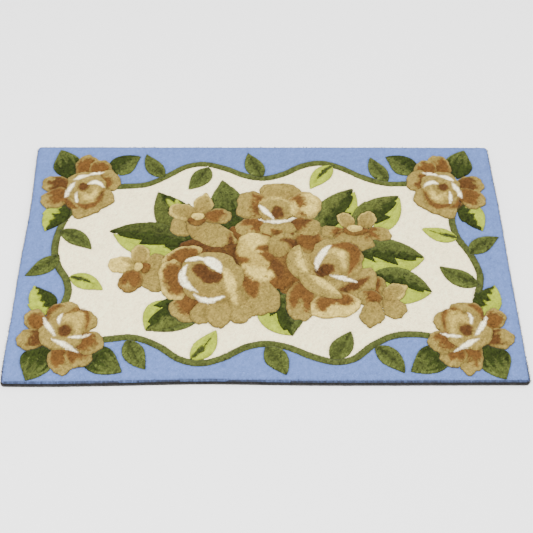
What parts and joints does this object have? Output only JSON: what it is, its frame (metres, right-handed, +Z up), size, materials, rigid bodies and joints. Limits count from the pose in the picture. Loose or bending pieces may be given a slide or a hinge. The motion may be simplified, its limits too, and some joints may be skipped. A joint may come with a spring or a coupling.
{
  "type": "doormat",
  "caption": "Rectangular doormat with a carved cut-pile face of roses, leaves and a wavy vine in raised relief, on a flat dark backing that lies on the floor.",
  "frame": {"origin": "on the floor, under the middle of the mat", "axes": "+X along the mat's length, +Y towards its back edge, +Z up out of the pile"},
  "size_m": [0.8029, 0.5012, 0.0151],
  "materials": {
    "pile_yarn": "matte cut pile",
    "backing_sheet": "matte"
  },
  "bodies": {
    "root": {"pile": "pile_yarn", "backing": "backing_sheet"}
  },
  "joints": []
}
